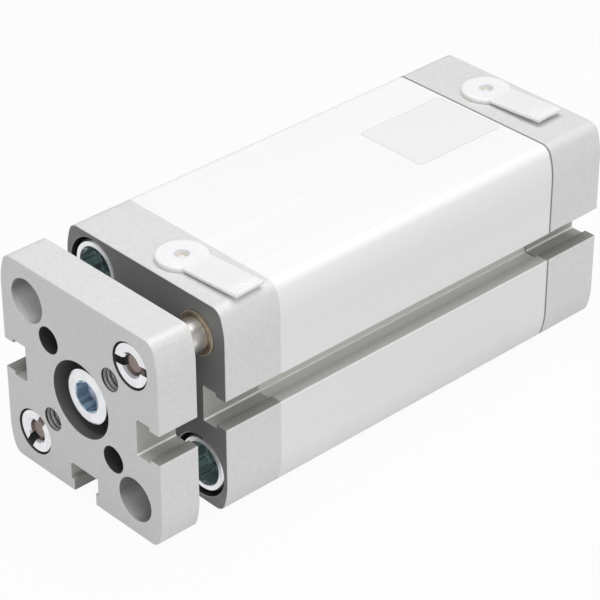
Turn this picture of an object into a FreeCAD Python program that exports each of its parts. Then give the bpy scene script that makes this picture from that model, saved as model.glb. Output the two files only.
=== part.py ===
"""Guided pneumatic cylinder: compact body, yoke plate and two guide rods.

Frame, in millimetres: the origin is the centre of the rear mounting face, on the
piston rod's axis. +X runs along the stroke towards the yoke plate, +Z towards the
side with the two supply ports, and +Y towards one of the slotted sides. The pieces
stand retracted, which is the rest position.
"""
import FreeCAD, Part

import math
import os

from FreeCAD import Vector

# ---------------------------------------------------------------- driving dimensions
BODY_SIZE = 39.5            # width and height of caps, barrel and yoke plate
STROKE = 50.0
BODY_LENGTH = 39.0 + STROKE  # caps and barrel together
FRONT_CAP_LENGTH = 12.0
REAR_CAP_LENGTH = 12.5
YOKE_GAP = 6.0              # between front cap and yoke plate, retracted
YOKE_THICKNESS = 8.0
CORNER_OFFSET = 13.0        # body screws and guide rods, from the axis in Y and in Z
PATTERN_OFFSET = 7.8        # inner hole pattern of the yoke plate, same way
BORE_DIAMETER = 25.0
ROD_DIAMETER = 10.0
GUIDE_DIAMETER = 6.0

# outline: flat top and bottom, and sides that ease inwards in a slack arc before a tight corner
CORNER_SLACK_RADIUS = 14.0
CORNER_SLACK_SWEEP = 20.0
CORNER_TIGHT_RADIUS = 2.2
EDGE_BREAK = 0.1
HOLE_BREAK = 0.1            # depth of the 45 degree breaks round the yoke plate's holes

# sensor slot: a mouth with rounded lips, and a wider head behind the lips
SLOT_MOUTH = 5.45
SLOT_HEAD = 6.8
SLOT_LIP = 2.35
SLOT_DEPTH = 5.5
SLOT_LIP_ROUND = 0.25
SLOT_FLOOR_ROUND = 0.35
CAP_SLOT_GROWTH = 0.07      # the machined slots of caps and yoke are this much wider all round

# sleeve screws that hold the caps
SCREW_HEAD_DIAMETER = 10.4
SCREW_HEAD_LENGTH = 5.5
SCREW_HEAD_BEVEL = 0.35
SCREW_RECESS = 0.5
SCREW_SHANK_DIAMETER = 7.5
SCREW_SHANK_LENGTH = 13.5
SCREW_TIP_BEVEL = 0.8
SCREW_COUNTERBORE = 11.6
SCREW_COUNTERBORE_BREAK = 0.15
SCREW_SOCKET_WIDTH = 7.0
SCREW_SOCKET_DEPTH = 3.0
SCREW_SOCKET_MOUTH = 8.1
SCREW_SOCKET_TURN = -5.0    # degrees, of one socket corner from +Y towards +Z
CHANNEL_DIAMETER = 7.6      # lengthwise channels of the barrel
M5_CORE = 4.2
M5_SCREW_DEPTH = 15.0       # thread bottom, from the cap's face

# supply ports
PORT_FROM_FACE = 6.0
PORT_OFFSET = 2.75          # front port to +Y, rear port to -Y
PORT_LEAD_DIAMETER = 5.2
PORT_LEAD_DEPTH = 1.5
PORT_THREAD_DEPTH = 6.0
PORT_DRILLING = 2.2
PORT_DRILLING_FLOOR = 7.7   # over the axis; the passage on to the chamber isn't cut
PORT_RIM = 0.4

# cap spigots and their seals
SPIGOT_LENGTH = 2.5
SPIGOT_DIAMETER = 24.9
ORING_SECTION = 1.14        # as squeezed between groove and bore
ORING_GROOVE_WIDTH = 1.4
ORING_GROOVE_DIAMETER = 22.6

# front cap inside
ROD_BUSH_DIAMETER = 12.0
ROD_BUSH_SETBACK = 0.2      # from the spigot's face
ROD_BUSH_BEVEL = 0.4
ROD_SEAL_DIAMETER = 16.0
ROD_SEAL_MOUTH = 14.0
ROD_SEAL_MOUTH_BREAK = 0.4
ROD_SEAL_LENGTH = 3.3
ROD_SEAL_SETBACK = 1.2
ROD_SEAL_PLAY = 0.05        # endwise, either side of the seal
ROD_SEAL_SHOULDER = 0.5
ROD_SEAL_WIPER_REACH = 0.6  # of the wiper lip, out of the cap's face
GUIDE_BUSH_DIAMETER = 8.0
GUIDE_BUSH_LENGTH = 12.0
GUIDE_BUSH_PROUD = 0.25
GUIDE_BUSH_MOUTH = 6.6
GUIDE_BUSH_BEVEL = 0.2
GUIDE_BORE_BREAK = 0.15

# rear cap
CENTRING_DIAMETER = 9.0
CENTRING_DEPTH = 2.1
CENTRING_BREAK = 0.3
REAR_RECESS_DIAMETER = 10.0
REAR_RECESS_DEPTH = 4.0

# yoke plate
ACCESS_HOLE = 8.0
PIN_HOLE = 4.9
YOKE_COUNTERBORE = 14.0
YOKE_COUNTERBORE_DEPTH = 5.3
YOKE_SCREW_CLEARANCE = 6.4
NUT_COUNTERBORE = 8.4
NUT_COUNTERBORE_DEPTH = 3.8
ROD_PILOT_DEPTH = 0.8
GUIDE_PILOT_DEPTH = 1.0

# yoke screw, M6 with a low head
YOKE_HEAD_DIAMETER = 10.0
YOKE_HEAD_LENGTH = 4.0
YOKE_SOCKET_WIDTH = 5.0
YOKE_SOCKET_DEPTH = 2.4
YOKE_SOCKET_TURN = 30.0     # degrees, of one socket corner from +Y towards +Z
YOKE_SOCKET_CONE = 4.9      # drill point under the socket's floor: diameter and depth
YOKE_SOCKET_CONE_DEPTH = 1.2
YOKE_HEAD_LAND = 0.3        # height of the head's rounded rim
YOKE_HEAD_RIM = 0.35        # width of the same rim
YOKE_SHANK_DIAMETER = 5.95
YOKE_SHANK_LENGTH = 15.0
YOKE_SHANK_BEVEL = 0.7

# guide rod nuts, M4
NUT_DIAMETER = 7.9
NUT_LENGTH = 3.5
NUT_SLOT_WIDTH = 1.5
NUT_SLOT_DEPTH = 1.9
NUT_BEVEL = 0.12
NUT_COUNTERSINK = 0.35
NUT_TURNS = (5.0, 60.0)     # degrees, of the slot from +Y towards +Z, upper and lower nut
STUD_DIAMETER = 3.8
STUD_TIP = 3.0
STUD_RECESS = 1.1
STUD_CLEARANCE = 4.0
GUIDE_REAR_END = 20.5
GUIDE_REAR_BEVEL = 0.6

# piston
PISTON_LENGTH = 8.7
PISTON_DIAMETER = 24.5
PISTON_DISC = 2.8
PISTON_HUB_DIAMETER = 13.8
MAGNET_DIAMETER = 21.4
CUSHION_OUTER = 16.0
CUSHION_INNER = 12.8
CUSHION_DEPTH = 1.0
CUSHION_PROUD = 0.25
END_CLEARANCE = 0.15        # cushion to spigot at either end of the stroke
PISTON_SEAL_WIDTH = 1.5
PISTON_SEAL_DEPTH = 1.7
PISTON_SEAL_LAND = 0.35     # between a seal's groove and the magnet's side of its disc
PISTON_SEAL_LIP = 0.45      # thickness of both legs of a seal at its open side
PISTON_SEAL_WEB = 0.6       # thickness of the web that joins them
PISTON_SEAL_TAPER = 0.2     # by which the back of the outer leg stands inside the piston's rim
PISTON_SCREW_HEAD = 8.5
PISTON_SCREW_HEAD_LENGTH = 2.7
PISTON_SCREW_POCKET = 8.8
PISTON_SCREW_SETBACK = 0.1
PISTON_SCREW_DIAMETER = 5.0
PISTON_SCREW_CLEARANCE = 5.2
PISTON_SCREW_LENGTH = 14.0
PISTON_SCREW_GRIP = 13.0    # depth of the rod's thread for it
PISTON_SOCKET_WIDTH = 4.0
PISTON_SOCKET_DEPTH = 1.8
ROD_PISTON_PILOT = 1.0
ROD_BEVEL = 0.5
ROD_THREAD_RUNOUT = 3.0     # of the front thread, beyond the yoke screw's tip
WRENCH_FLATS = 9.0
WRENCH_FLATS_LENGTH = 3.2
WRENCH_FLATS_SETBACK = 0.8  # from the yoke plate's back

# port plugs
PLUG_DISC_DIAMETER = 9.0
PLUG_THICKNESS = 0.95
PLUG_RIM_ROUND = 0.4
PLUG_TAB_THICKNESS = 0.5
PLUG_TAB_WIDTH = 6.2
PLUG_TAB_REACHES = (15.7, 15.2)  # front and rear plug, from the disc's centre
PLUG_TAB_RISES = (0.25, 0.5)     # by which the tab's end is lifted further
PLUG_STANDOFF = 0.05
PLUG_TAB_OVERLAP = 1.0           # of the tab's root under the disc's rim
PLUG_TAB_SAG = 0.35              # share of the rise that the tab has at its middle
PLUG_STEM_DIAMETER = 5.1
PLUG_STEM_LENGTH = 1.4
PLUG_DIMPLE_DIAMETER = 2.6
PLUG_DIMPLE_DEPTH = 1.2
PLUG_PIP_DIAMETER = 1.0
PLUG_PIP_HEIGHT = 0.6
PLUG_RIBS = 4
PLUG_RIB_PITCH = 0.85
PLUG_RIB_RADIUS = 0.2
PLUG_RIB_MARGIN = 0.3            # from either edge of the tab, and of the first rib's axis from its end
PLUG_TURNS = (2.6, 1.5)     # degrees, front and rear plug, about +Z

# fits
FIT = 0.02                  # radial, pieces that stay put
RUNNING_FIT = 0.03          # radial, rods in their bushes
SEAL_FIT = 0.03             # radial, seal lips on what they wipe
RING_PLAY = 0.05            # magnet, wear ring, cushions and seals in their seats

# ---------------------------------------------------------------- derived stations
HALF = BODY_SIZE / 2
BARREL_START = REAR_CAP_LENGTH
BARREL_END = BODY_LENGTH - FRONT_CAP_LENGTH
YOKE_BACK = BODY_LENGTH + YOKE_GAP
YOKE_FRONT = YOKE_BACK + YOKE_THICKNESS
PISTON_START = BARREL_START + SPIGOT_LENGTH + END_CLEARANCE + CUSHION_PROUD
PISTON_END = PISTON_START + PISTON_LENGTH
ROD_REAR_END = PISTON_END - ROD_PISTON_PILOT
ROD_FRONT_END = YOKE_BACK + ROD_PILOT_DEPTH
YOKE_SEAT = YOKE_FRONT - YOKE_COUNTERBORE_DEPTH
NUT_SEAT = YOKE_FRONT - NUT_COUNTERBORE_DEPTH
PISTON_SCREW_TOP = PISTON_START + PISTON_SCREW_SETBACK
PISTON_SCREW_SEAT = PISTON_SCREW_TOP + PISTON_SCREW_HEAD_LENGTH
FRONT_PORT_X = BODY_LENGTH - PORT_FROM_FACE
REAR_PORT_X = PORT_FROM_FACE
PORT_THREAD_FLOOR = HALF - PORT_THREAD_DEPTH

AXIS_X = Vector(1, 0, 0)
AXIS_Y = Vector(0, 1, 0)
AXIS_Z = Vector(0, 0, 1)
ORIGIN = Vector(0, 0, 0)
SAME = 1e-6                 # lengths closer than this are taken as equal
SCREW_CORNERS = ((-CORNER_OFFSET, CORNER_OFFSET), (CORNER_OFFSET, -CORNER_OFFSET))
GUIDE_CORNERS = ((CORNER_OFFSET, CORNER_OFFSET), (-CORNER_OFFSET, -CORNER_OFFSET))
ALL_CORNERS = SCREW_CORNERS + GUIDE_CORNERS


# ---------------------------------------------------------------- building blocks
def rod_x(diameter, start, end, y=0.0, z=0.0):
    """Cylinder along X from start to end."""
    return Part.makeCylinder(diameter / 2, end - start, Vector(start, y, z), AXIS_X)


def rod_z(diameter, low, high, x, y):
    """Cylinder along Z from low to high."""
    return Part.makeCylinder(diameter / 2, high - low, Vector(x, y, low), AXIS_Z)


def tube_x(outer, inner, start, end, y=0.0, z=0.0):
    """Tube along X."""
    return rod_x(outer, start, end, y, z).cut(rod_x(inner, start, end, y, z))


def lead_in(diameter, depth, face, inward, y=0.0, z=0.0):
    """45 degree countersink cone along X, with its mouth at face."""
    narrow = diameter / 2
    return Part.makeCone(narrow + depth, narrow, depth, Vector(face, y, z), Vector(inward, 0, 0))


def turned(points, y=0.0, z=0.0):
    """Solid of revolution about X from (x, radius) points."""
    corners = [Vector(x, 0, radius) for x, radius in points]
    face = Part.Face(Part.makePolygon(corners + corners[:1]))
    solid = face.revolve(ORIGIN, AXIS_X, 360)
    solid.translate(Vector(0, y, z))
    return solid


def ring_of(section, radius, x):
    """O-ring about the X axis: round section, given mean radius."""
    return Part.makeTorus(radius, section / 2, Vector(x, 0, 0), AXIS_X)


def hexagon_x(width, start, end, turn, y=0.0, z=0.0):
    """Hexagonal prism along X, with a corner at the given turn from +Y towards +Z."""
    radius = width / math.sqrt(3)
    corners = []
    for index in range(7):
        angle = math.radians(turn + 60 * index)
        corners.append(Vector(start, y + radius * math.cos(angle), z + radius * math.sin(angle)))
    return Part.Face(Part.makePolygon(corners)).extrude(Vector(end - start, 0, 0))


def arc(centre, radius, start, end):
    """Arc in the YZ plane; angles in degrees from +Y towards +Z."""
    middle = (start + end) / 2
    ends = []
    for angle in (start, middle, end):
        turn = math.radians(angle)
        ends.append(Vector(0, centre[0] + radius * math.cos(turn), centre[1] + radius * math.sin(turn)))
    return Part.Arc(*ends).toShape()


# ---------------------------------------------------------------- outline and slots
def upper_corner():
    """Edges of the corner between +Y and +Z, with the z where the side and the y where the top ends."""
    sweep = math.radians(CORNER_SLACK_SWEEP)
    shift = CORNER_SLACK_RADIUS - CORNER_TIGHT_RADIUS
    slack_y = HALF - CORNER_SLACK_RADIUS
    tight_y = slack_y + shift * math.cos(sweep)
    tight_z = HALF - CORNER_TIGHT_RADIUS
    slack_z = tight_z - shift * math.sin(sweep)
    edges = [
        arc((slack_y, slack_z), CORNER_SLACK_RADIUS, 0, CORNER_SLACK_SWEEP),
        arc((tight_y, tight_z), CORNER_TIGHT_RADIUS, CORNER_SLACK_SWEEP, 90),
    ]
    return edges, slack_z, tight_y


def body_outline():
    """Closed outline shared by caps, barrel and yoke plate, at x = 0."""
    corner, side_end, top_end = upper_corner()
    side = Part.makeLine(Vector(0, HALF, -side_end), Vector(0, HALF, side_end))
    top = Part.makeLine(Vector(0, -top_end, HALF), Vector(0, top_end, HALF))
    right = [side] + corner + [edge.mirror(ORIGIN, AXIS_Z) for edge in corner]
    left = [edge.mirror(ORIGIN, AXIS_Y) for edge in right]
    return Part.Wire(Part.__sortEdges__(right + left + [top, top.mirror(ORIGIN, AXIS_Z)]))


def slot_cutter(start, end, growth=0.0):
    """Cutter of one sensor slot in the +Y side, with rounded lips and a rounded floor."""
    mouth = SLOT_MOUTH / 2 + growth
    head = SLOT_HEAD / 2 + growth
    lip = HALF - SLOT_LIP
    floor = HALF - SLOT_DEPTH - growth
    lip_round = SLOT_LIP_ROUND
    floor_round = SLOT_FLOOR_ROUND
    upper = [
        Part.makeLine(Vector(0, HALF + 1, mouth + lip_round), Vector(0, HALF, mouth + lip_round)),
        arc((HALF - lip_round, mouth + lip_round), lip_round, 0, -90),
        Part.makeLine(Vector(0, HALF - lip_round, mouth), Vector(0, lip, mouth)),
        Part.makeLine(Vector(0, lip, mouth), Vector(0, lip, head)),
        Part.makeLine(Vector(0, lip, head), Vector(0, floor + floor_round, head)),
        arc((floor + floor_round, head - floor_round), floor_round, 90, 180),
    ]
    lower = [edge.mirror(ORIGIN, AXIS_Z) for edge in upper]
    closing = [
        Part.makeLine(Vector(0, floor, head - floor_round), Vector(0, floor, floor_round - head)),
        Part.makeLine(Vector(0, HALF + 1, -mouth - lip_round), Vector(0, HALF + 1, mouth + lip_round)),
    ]
    wire = Part.Wire(Part.__sortEdges__(upper + lower + closing))
    cutter = Part.Face(wire).extrude(Vector(end - start, 0, 0))
    cutter.translate(Vector(start, 0, 0))
    return cutter


def slotted_block(start, end, growth, break_start, break_end):
    """Block of the body outline with three sensor slots, edges broken where asked."""
    block = Part.Face(body_outline()).extrude(Vector(end - start, 0, 0))
    block.translate(Vector(start, 0, 0))
    broken = []
    for edge in block.Edges:
        box = edge.BoundBox
        if box.XLength > SAME:
            continue
        at_start = abs(box.XMin - start) < SAME
        if (at_start and break_start) or (not at_start and break_end):
            broken.append(edge)
    if broken:
        block = block.makeChamfer(EDGE_BREAK, broken)
    for turn in (0, 180, -90):
        cutter = slot_cutter(start - 1, end + 1, growth)
        cutter.rotate(ORIGIN, AXIS_X, turn)
        block = block.cut(cutter)
    return block


# ---------------------------------------------------------------- body
def cylinder_barrel():
    """Extruded barrel: bore, four lengthwise channels and three sensor slots."""
    barrel = slotted_block(BARREL_START, BARREL_END, 0.0, False, False)
    barrel = barrel.cut(rod_x(BORE_DIAMETER, BARREL_START, BARREL_END))
    for y, z in ALL_CORNERS:
        barrel = barrel.cut(rod_x(CHANNEL_DIAMETER, BARREL_START, BARREL_END, y, z))
    return barrel


def screw_seat(face, inward, y, z):
    """Counterbore and through hole of one sleeve screw, cut from a cap's outer face."""
    depth = SCREW_RECESS + SCREW_HEAD_LENGTH
    head = Part.makeCylinder(SCREW_COUNTERBORE / 2, depth, Vector(face, y, z), Vector(inward, 0, 0))
    reach = max(FRONT_CAP_LENGTH, REAR_CAP_LENGTH)
    hole = Part.makeCylinder(CHANNEL_DIAMETER / 2, reach, Vector(face, y, z), Vector(inward, 0, 0))
    chamfer = lead_in(SCREW_COUNTERBORE, SCREW_COUNTERBORE_BREAK, face, inward, y, z)
    return head.fuse([hole, chamfer])


def spigot(face, outward):
    """Spigot that centres a cap in the bore, with its O-ring groove; face is the seam."""
    tip = face + outward * SPIGOT_LENGTH
    low, high = min(face, tip), max(face, tip)
    middle = (low + high) / 2
    body = rod_x(SPIGOT_DIAMETER, low, high)
    start = middle - ORING_GROOVE_WIDTH / 2
    end = middle + ORING_GROOVE_WIDTH / 2
    return body.cut(tube_x(SPIGOT_DIAMETER + 1, ORING_GROOVE_DIAMETER, start, end))


def port_cut(x, y):
    """Port from the top side: lead-in, thread and a drilling that ends blind."""
    lead = rod_z(PORT_LEAD_DIAMETER, HALF - PORT_LEAD_DEPTH, HALF + 1, x, y)
    thread = rod_z(M5_CORE, PORT_THREAD_FLOOR, HALF, x, y)
    drilling = rod_z(PORT_DRILLING, PORT_DRILLING_FLOOR, PORT_THREAD_FLOOR, x, y)
    narrow = PORT_LEAD_DIAMETER / 2
    rim = Part.makeCone(narrow, narrow + PORT_RIM, PORT_RIM, Vector(x, y, HALF - PORT_RIM), AXIS_Z)
    return lead.fuse([thread, drilling, rim])


def bearing_cap():
    """Front cap: rod bush bore, rod seal housing, guide bores, screw seats and front port."""
    cap = slotted_block(BARREL_END, BODY_LENGTH, CAP_SLOT_GROWTH, False, True)
    cap = cap.fuse(spigot(BARREL_END, -1))
    spigot_face = BARREL_END - SPIGOT_LENGTH
    seal_end = BODY_LENGTH - ROD_SEAL_SETBACK
    seal_start = seal_end - ROD_SEAL_LENGTH
    cap = cap.cut(rod_x(ROD_BUSH_DIAMETER, spigot_face, seal_start))
    cap = cap.cut(rod_x(ROD_SEAL_DIAMETER, seal_start, seal_end))
    cap = cap.cut(rod_x(ROD_SEAL_MOUTH, seal_end, BODY_LENGTH))
    cap = cap.cut(lead_in(ROD_SEAL_MOUTH, ROD_SEAL_MOUTH_BREAK, BODY_LENGTH, -1))
    for y, z in GUIDE_CORNERS:
        cap = cap.cut(rod_x(GUIDE_BUSH_DIAMETER, BARREL_END, BODY_LENGTH, y, z))
        cap = cap.cut(lead_in(GUIDE_BUSH_DIAMETER, GUIDE_BORE_BREAK, BODY_LENGTH, -1, y, z))
    for y, z in SCREW_CORNERS:
        cap = cap.cut(screw_seat(BODY_LENGTH, -1, y, z))
    cap = cap.cut(port_cut(FRONT_PORT_X, PORT_OFFSET))
    return cap.removeSplitter()


def end_cap():
    """Rear cap: centring bore, screw seats, inner recess and rear port."""
    cap = slotted_block(0.0, REAR_CAP_LENGTH, CAP_SLOT_GROWTH, True, True)
    cap = cap.fuse(spigot(BARREL_START, 1))
    spigot_face = BARREL_START + SPIGOT_LENGTH
    cap = cap.cut(rod_x(CENTRING_DIAMETER, 0, CENTRING_DEPTH))
    cap = cap.cut(lead_in(CENTRING_DIAMETER, CENTRING_BREAK, 0.0, 1))
    cap = cap.cut(rod_x(REAR_RECESS_DIAMETER, spigot_face - REAR_RECESS_DEPTH, spigot_face))
    for y, z in ALL_CORNERS:
        cap = cap.cut(screw_seat(0.0, 1, y, z))
    cap = cap.cut(port_cut(REAR_PORT_X, -PORT_OFFSET))
    return cap.removeSplitter()


def sleeve_screw(face, outward, y, z):
    """Cap screw with a hexagon socket and a blind M5 thread; face is the cap's outer face."""
    top = face - outward * SCREW_RECESS
    seat = top - outward * SCREW_HEAD_LENGTH
    tip = seat - outward * SCREW_SHANK_LENGTH
    head = SCREW_HEAD_DIAMETER / 2
    shank = SCREW_SHANK_DIAMETER / 2
    rim = top - outward * SCREW_HEAD_BEVEL
    tip_end = tip + outward * SCREW_TIP_BEVEL
    screw = turned([
        (tip, 0), (tip, shank - SCREW_TIP_BEVEL), (tip_end, shank), (seat, shank),
        (seat, head), (rim, head), (top, head - SCREW_HEAD_BEVEL), (top, 0),
    ], y, z)
    floor = top - outward * SCREW_SOCKET_DEPTH
    low, high = sorted((top, floor))
    screw = screw.cut(hexagon_x(SCREW_SOCKET_WIDTH, low, high, SCREW_SOCKET_TURN, y, z))
    mouth_depth = (SCREW_SOCKET_MOUTH - SCREW_SOCKET_WIDTH) / 2
    screw = screw.cut(lead_in(SCREW_SOCKET_WIDTH, mouth_depth, top, -outward, y, z))
    low, high = sorted((floor, face - outward * M5_SCREW_DEPTH))
    return screw.cut(rod_x(M5_CORE, low, high, y, z))


def bearing_cap_screws():
    """The two sleeve screws of the front cap."""
    return [sleeve_screw(BODY_LENGTH, 1, y, z) for y, z in SCREW_CORNERS]


def end_cap_screws():
    """The four sleeve screws of the rear cap."""
    return [sleeve_screw(0.0, -1, y, z) for y, z in ALL_CORNERS]


def cap_oring(seam, inward):
    """O-ring in a cap's spigot groove, against the bore."""
    radius = (BORE_DIAMETER + ORING_GROOVE_DIAMETER) / 4
    return ring_of(ORING_SECTION, radius, seam + inward * SPIGOT_LENGTH / 2)


def rod_bush():
    """Plain bush of the piston rod, pressed into the front cap."""
    start = BARREL_END - SPIGOT_LENGTH + ROD_BUSH_SETBACK
    end = BODY_LENGTH - ROD_SEAL_SETBACK - ROD_SEAL_LENGTH
    outer = ROD_BUSH_DIAMETER / 2 - FIT
    inner = ROD_DIAMETER / 2 + RUNNING_FIT
    bevel = ROD_BUSH_BEVEL
    return turned([
        (start, inner + bevel), (start, outer - bevel), (start + bevel, outer), (end, outer),
        (end, inner + bevel), (end - bevel, inner), (start + bevel, inner),
    ])


def rod_seal():
    """Rod seal with a pressure lip towards the bush and a wiper lip out of the cap."""
    end = BODY_LENGTH - ROD_SEAL_SETBACK - ROD_SEAL_PLAY
    start = end - ROD_SEAL_LENGTH + 2 * ROD_SEAL_PLAY
    outer = ROD_SEAL_DIAMETER / 2 - FIT
    mouth = ROD_SEAL_MOUTH / 2 - 0.3
    lip = ROD_DIAMETER / 2 + SEAL_FIT
    wiper = BODY_LENGTH + ROD_SEAL_WIPER_REACH
    shoulder = ROD_SEAL_SHOULDER
    return turned([
        (start, outer - shoulder), (start + shoulder, outer), (end, outer), (end, mouth),
        (end + 1.1, mouth - 0.2), (wiper, lip + 0.35), (wiper, lip), (wiper - 0.5, lip),
        (end, lip + 0.9), (start + 1.3, lip + 0.6), (start + 0.6, lip), (start, lip + 0.2),
        (start, lip + 0.6), (start + 0.9, lip + 1.4), (start, outer - 2 * shoulder),
    ])


def guide_bush(y, z):
    """Plain bush of one guide rod, standing a little proud of the front cap."""
    end = BODY_LENGTH + GUIDE_BUSH_PROUD
    start = end - GUIDE_BUSH_LENGTH
    outer = GUIDE_BUSH_DIAMETER / 2 - FIT
    inner = GUIDE_DIAMETER / 2 + RUNNING_FIT
    bevel = GUIDE_BUSH_BEVEL
    flare = GUIDE_BUSH_MOUTH / 2 - inner
    return turned([
        (start, inner), (start, outer - bevel), (start + bevel, outer), (end - bevel, outer),
        (end, outer - bevel), (end, inner + flare), (end - flare, inner),
    ], y, z)


def guide_bushes():
    """Both guide bushes."""
    return [guide_bush(y, z) for y, z in GUIDE_CORNERS]


# ---------------------------------------------------------------- piston
def lip_seal_groove(start, end):
    """Groove of one piston seal."""
    return tube_x(PISTON_DIAMETER + 1, PISTON_DIAMETER - 2 * PISTON_SEAL_DEPTH, start, end)


def cushion_groove(face, inward):
    """Ring groove for one cushion ring in a piston face."""
    low, high = sorted((face, face + inward * CUSHION_DEPTH))
    return tube_x(CUSHION_OUTER, CUSHION_INNER, low, high)


def seal_stations():
    """Start of the rear and the front piston seal groove, off the middle of its disc towards the magnet."""
    margin = PISTON_DISC - PISTON_SEAL_WIDTH - PISTON_SEAL_LAND
    return PISTON_START + margin, PISTON_END - margin - PISTON_SEAL_WIDTH


def piston_rear_half():
    """Rear half with the hub that carries the magnet, and the seat of the piston screw."""
    inner_face = PISTON_START + PISTON_DISC
    half = rod_x(PISTON_DIAMETER, PISTON_START, inner_face)
    half = half.fuse(rod_x(PISTON_HUB_DIAMETER, inner_face, PISTON_END - PISTON_DISC))
    rear_seal = seal_stations()[0]
    half = half.cut(lip_seal_groove(rear_seal, rear_seal + PISTON_SEAL_WIDTH))
    half = half.cut(cushion_groove(PISTON_START, 1))
    half = half.cut(rod_x(PISTON_SCREW_POCKET, PISTON_START, PISTON_SCREW_SEAT))
    half = half.cut(rod_x(PISTON_SCREW_CLEARANCE, PISTON_START, PISTON_END))
    return half.removeSplitter()


def piston_front_half():
    """Front half with the recess that locates the piston rod."""
    inner_face = PISTON_END - PISTON_DISC
    half = rod_x(PISTON_DIAMETER, inner_face, PISTON_END)
    front_seal = seal_stations()[1]
    half = half.cut(lip_seal_groove(front_seal, front_seal + PISTON_SEAL_WIDTH))
    half = half.cut(cushion_groove(PISTON_END, -1))
    half = half.cut(rod_x(ROD_DIAMETER + 2 * FIT, ROD_REAR_END, PISTON_END))
    half = half.cut(rod_x(PISTON_SCREW_CLEARANCE, inner_face, PISTON_END))
    return half.removeSplitter()


def piston_lip_seals():
    """Two lip seals, each opening towards its own chamber."""
    seals = []
    inner = PISTON_DIAMETER / 2 - PISTON_SEAL_DEPTH + FIT
    outer = BORE_DIAMETER / 2 - SEAL_FIT
    lip = PISTON_SEAL_LIP
    for start, inward in zip(seal_stations(), (1, -1)):
        low, high = start + RING_PLAY, start + PISTON_SEAL_WIDTH - RING_PLAY
        mouth, back = (low, high) if inward == 1 else (high, low)
        seals.append(turned([
            (back, inner), (back, PISTON_DIAMETER / 2 - PISTON_SEAL_TAPER), (mouth, outer),
            (mouth, outer - lip), (back - inward * PISTON_SEAL_WEB, (inner + outer) / 2),
            (mouth, inner + lip), (mouth, inner),
        ]))
    return seals


def between_discs(outer, inner):
    """Ring that fills the piston between its two discs."""
    start = PISTON_START + PISTON_DISC + RING_PLAY
    return tube_x(outer, inner, start, PISTON_END - PISTON_DISC - RING_PLAY)


def piston_magnet():
    """Ring magnet on the hub, read by sensors in the slots."""
    return between_discs(MAGNET_DIAMETER, PISTON_HUB_DIAMETER + 2 * RING_PLAY)


def piston_guide_ring():
    """Wear ring round the magnet, running in the bore."""
    return between_discs(BORE_DIAMETER - 2 * RUNNING_FIT, MAGNET_DIAMETER + 2 * RING_PLAY)


def cushion_ring(face, outward):
    """Elastic end-stop ring in a piston face, standing a little proud of it."""
    bottom = face - outward * (CUSHION_DEPTH - RING_PLAY)
    low, high = sorted((bottom, face + outward * CUSHION_PROUD))
    return tube_x(CUSHION_OUTER - 2 * RING_PLAY, CUSHION_INNER + 2 * RING_PLAY, low, high)


def piston_screw():
    """Screw that clamps both piston halves to the rod."""
    seat = PISTON_SCREW_SEAT
    head = rod_x(PISTON_SCREW_HEAD, PISTON_SCREW_TOP, seat)
    screw = head.fuse(rod_x(PISTON_SCREW_DIAMETER, seat, seat + PISTON_SCREW_LENGTH))
    floor = PISTON_SCREW_TOP + PISTON_SOCKET_DEPTH
    return screw.cut(hexagon_x(PISTON_SOCKET_WIDTH, PISTON_SCREW_TOP, floor, 0.0)).removeSplitter()


def piston_rod():
    """Piston rod with tapped ends and two wrench flats behind the yoke plate."""
    bevel = ROD_BEVEL
    radius = ROD_DIAMETER / 2
    rod = turned([
        (ROD_REAR_END, 0), (ROD_REAR_END, radius - bevel), (ROD_REAR_END + bevel, radius),
        (ROD_FRONT_END - bevel, radius), (ROD_FRONT_END, radius - bevel), (ROD_FRONT_END, 0),
    ])
    piston_hole = PISTON_SCREW_DIAMETER + 2 * FIT
    rod = rod.cut(rod_x(piston_hole, ROD_REAR_END, ROD_REAR_END + PISTON_SCREW_GRIP))
    yoke_hole = YOKE_SHANK_DIAMETER + 2 * FIT
    thread_end = ROD_FRONT_END - YOKE_SHANK_LENGTH - ROD_THREAD_RUNOUT
    rod = rod.cut(rod_x(yoke_hole, thread_end, ROD_FRONT_END))
    rod = rod.cut(lead_in(yoke_hole, ROD_BEVEL, ROD_FRONT_END, -1))
    flats_start = YOKE_BACK - WRENCH_FLATS_SETBACK - WRENCH_FLATS_LENGTH
    corner = Vector(flats_start, WRENCH_FLATS / 2, -ROD_DIAMETER)
    flat = Part.makeBox(WRENCH_FLATS_LENGTH, ROD_DIAMETER, 2 * ROD_DIAMETER, corner)
    return rod.cut([flat, flat.mirror(ORIGIN, AXIS_Y)])


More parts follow.
